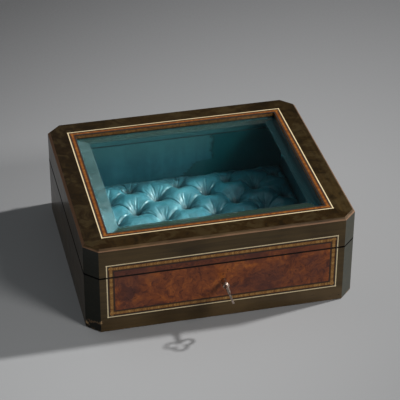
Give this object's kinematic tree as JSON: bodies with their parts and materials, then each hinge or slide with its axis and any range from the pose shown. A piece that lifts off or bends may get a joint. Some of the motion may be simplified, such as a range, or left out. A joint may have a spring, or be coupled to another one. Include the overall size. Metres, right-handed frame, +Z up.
{
  "type": "pocket watch display box",
  "caption": "Veneered display box with canted corners, hinged lid framing bevelled glass, buttoned silk cushion, and a lock with its key.",
  "frame": {"origin": "centre of the underside, on the surface that the box stands on", "axes": "+Z up, the front with the keyhole towards -Y, +X to the right seen from the front"},
  "size_m": [0.27, 0.2803, 0.097],
  "materials": {
    "ebonised_wood": "french polished, dark brown",
    "pine": "bare",
    "baize": "felted",
    "burr_veneer": "french polished, red-brown burr",
    "banding": "polished, golden brown cross grain",
    "black_line": "polished",
    "boxwood": "polished, pale cream",
    "silk": "satin sheen, pale blue",
    "silk_cushion": "satin sheen, pale blue",
    "card": "bare pulp board",
    "brass": "aged",
    "steel": "filed",
    "spring_steel": "blued",
    "key_metal": "worn, grey brown",
    "glass": "polished, bevelled"
  },
  "bodies": {
    "base": {"front_wall": "ebonised_wood", "back_wall": "ebonised_wood", "left_wall": "ebonised_wood", "right_wall": "ebonised_wood", "bottom_board": "pine", "base_cloth": "baize", "base_burr_panel": "burr_veneer", "base_banding": "banding", "base_black_lines": "black_line", "base_stringing": "boxwood", "front_lining": "silk", "back_lining": "silk", "left_lining": "silk", "right_lining": "silk", "cushion_card": "card", "cushion": "silk_cushion", "cushion_buttons": "silk_cushion", "lock_plate": "brass", "lock_cover": "steel", "bolt_spring": "spring_steel", "drill_pin": "steel", "lock_screws": "brass", "left_hinge_base_leaf": "brass", "right_hinge_base_leaf": "brass", "hinge_pins": "brass", "hinge_base_screws": "brass"},
    "lid": {"lid_front_wall": "ebonised_wood", "lid_back_wall": "ebonised_wood", "lid_left_wall": "ebonised_wood", "lid_right_wall": "ebonised_wood", "lid_front_rail": "ebonised_wood", "lid_back_rail": "ebonised_wood", "lid_left_rail": "ebonised_wood", "lid_right_rail": "ebonised_wood", "lid_burr_panel": "burr_veneer", "lid_banding": "banding", "lid_black_lines": "black_line", "lid_stringing": "boxwood", "top_banding": "banding", "top_black_lines": "black_line", "top_stringing": "boxwood", "glass": "glass", "front_glass_bead": "silk", "back_glass_bead": "silk", "left_glass_bead": "silk", "right_glass_bead": "silk", "lid_front_lining": "silk", "lid_back_lining": "silk", "lid_left_lining": "silk", "lid_right_lining": "silk", "strike_plate": "brass", "strike_loops": "brass", "strike_screws": "brass", "left_hinge_lid_leaf": "brass", "right_hinge_lid_leaf": "brass", "hinge_lid_screws": "brass"},
    "lock_bolt": {"lock_bolt": "steel"},
    "key": {"key": "key_metal"}
  },
  "joints": [
    {"name": "lid_hinge", "type": "hinge", "parent": "base", "child": "lid", "pos_m": [0, 0.1212, 0.06375], "axis": [-1, 0, 0], "range_deg": [0, 100]},
    {"name": "bolt_slide", "type": "slide", "parent": "base", "child": "lock_bolt", "axis": [-1, 0, 0], "range_m": [-0.00024, 0.00426]},
    {"name": "key_turn", "type": "hinge", "parent": "base", "child": "key", "pos_m": [0, -0.12, 0.0435], "axis": [0, -1, 0], "range_deg": [-19.5, 340.5]}
  ],
  "couplings": [
    {"joint": "key_turn", "follows": "bolt_slide", "rad_per_m": 1396.3}
  ]
}
